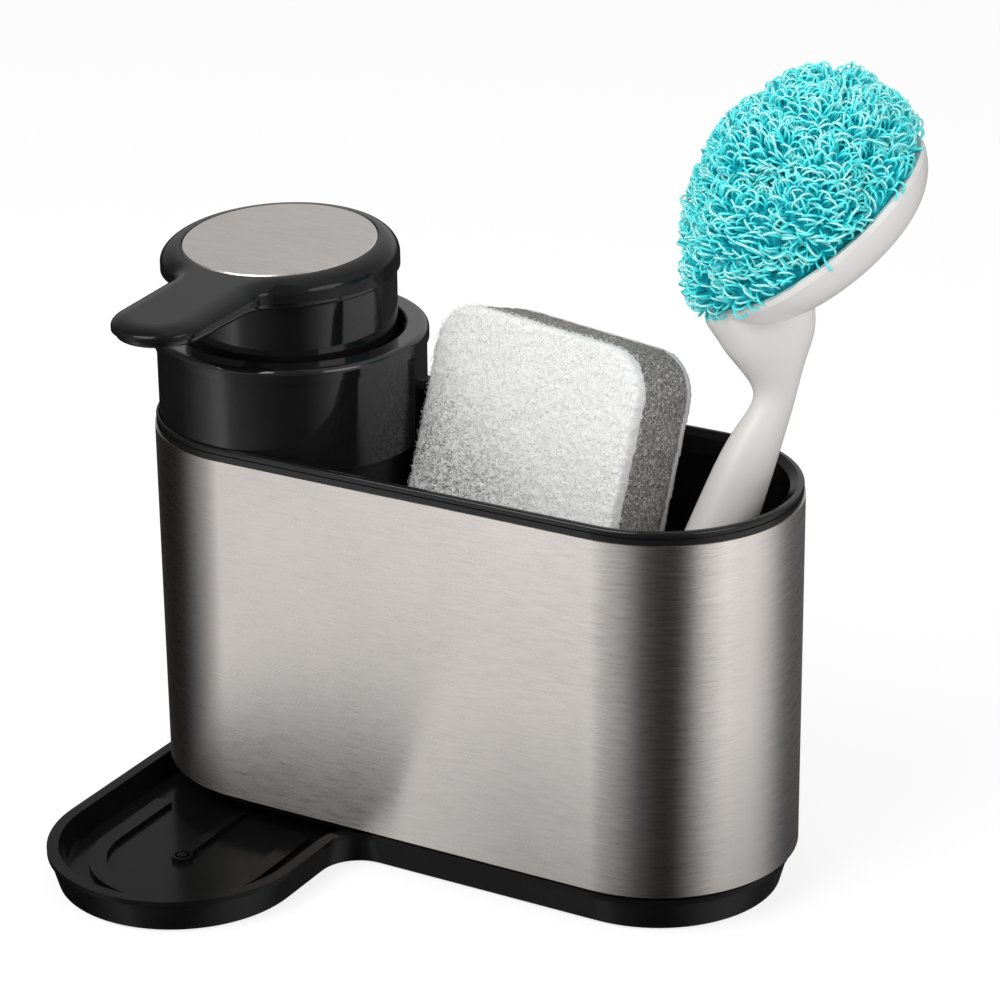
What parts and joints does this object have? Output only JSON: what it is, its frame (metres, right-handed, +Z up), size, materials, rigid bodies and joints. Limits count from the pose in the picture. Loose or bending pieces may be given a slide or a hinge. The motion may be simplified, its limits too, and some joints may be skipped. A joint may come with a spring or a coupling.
{
  "type": "soap pump caddy",
  "caption": "Oval steel-sleeved sink caddy on a drip tray, with a press-pump soap bottle at one end and a leaning sponge and a dish brush with a looped scourer in its open end.",
  "frame": {"origin": "on the pump's axis at counter level, the plane of the feet's undersides", "axes": "+X along the long side towards the brush, -Y the way the spout points, +Z up"},
  "size_m": [0.22, 0.1706, 0.2286],
  "materials": {
    "black_plastic": "gloss",
    "steel": "brushed",
    "rubber": "matt",
    "clear_plastic": "satin",
    "spring_steel": "bright",
    "white_scour": "fleecy",
    "grey_foam": "open-celled",
    "pale_sheet": "woven",
    "pale_plastic": "satin",
    "turquoise_fibre": "curled loops"
  },
  "bodies": {
    "base": {"base_tray": "black_plastic", "rubber_feet": "rubber"},
    "caddy": {"steel_sleeve": "steel", "plinth_ring": "black_plastic", "liner": "black_plastic", "rim_ring": "black_plastic"},
    "bottle": {"bottle": "black_plastic"},
    "pump_unit": {"pump_cup": "black_plastic", "cup_gasket": "rubber", "pump_cylinder": "clear_plastic", "cylinder_cap": "clear_plastic", "return_spring": "spring_steel", "dip_tube": "clear_plastic"},
    "collar": {"screw_collar": "black_plastic"},
    "piston": {"piston": "clear_plastic", "stem": "clear_plastic"},
    "head": {"head_base": "black_plastic", "head_cap": "black_plastic", "head_plate": "steel", "spout_tube": "clear_plastic", "nozzle": "black_plastic"},
    "inlet_ball": {"inlet_ball": "spring_steel"},
    "sponge": {"sponge_scour_face": "white_scour", "sponge_foam": "grey_foam", "sponge_back_sheet": "pale_sheet"},
    "brush": {"brush_handle": "pale_plastic", "brush_cup": "pale_plastic", "scourer_plug": "pale_plastic", "scourer_ball": "turquoise_fibre"}
  },
  "joints": [
    {"name": "caddy_lift", "type": "slide", "parent": "base", "child": "caddy", "axis": [0, 0, 1], "range_m": [0, 0.04]},
    {"name": "bottle_lift", "type": "slide", "parent": "caddy", "child": "bottle", "axis": [0, 0, 1], "range_m": [0, 0.11]},
    {"name": "pump_rise", "type": "slide", "parent": "bottle", "child": "pump_unit", "axis": [0, 0, 1], "range_m": [0, 0.01]},
    {"name": "collar_turn", "type": "hinge", "parent": "pump_unit", "child": "collar", "pos_m": [0, 0, 0.141], "axis": [0, 0, 1], "range_deg": [0, 720]},
    {"name": "head_press", "type": "slide", "parent": "pump_unit", "child": "piston", "axis": [0, 0, -1], "range_m": [0, 0.014], "stiffness_N_per_m": 400, "springref_m": -0.01, "deforming": ["return_spring"]},
    {"name": "head_swivel", "type": "hinge", "parent": "piston", "child": "head", "pos_m": [0, 0, 0.162], "axis": [0, 0, 1], "range_deg": [-90, 45]},
    {"name": "inlet_ball_lift", "type": "slide", "parent": "pump_unit", "child": "inlet_ball", "axis": [0, 0, 1], "range_m": [0, 0.0015]},
    {"name": "sponge_lift", "type": "slide", "parent": "caddy", "child": "sponge", "axis": [0, 0, 1], "range_m": [0, 0.02]},
    {"name": "brush_lift", "type": "slide", "parent": "caddy", "child": "brush", "axis": [0.141, 0.3479, 0.9269], "range_m": [0, 0.09]}
  ],
  "couplings": [
    {"joint": "collar_turn", "follows": "pump_rise", "rad_per_m": 1256.6}
  ]
}
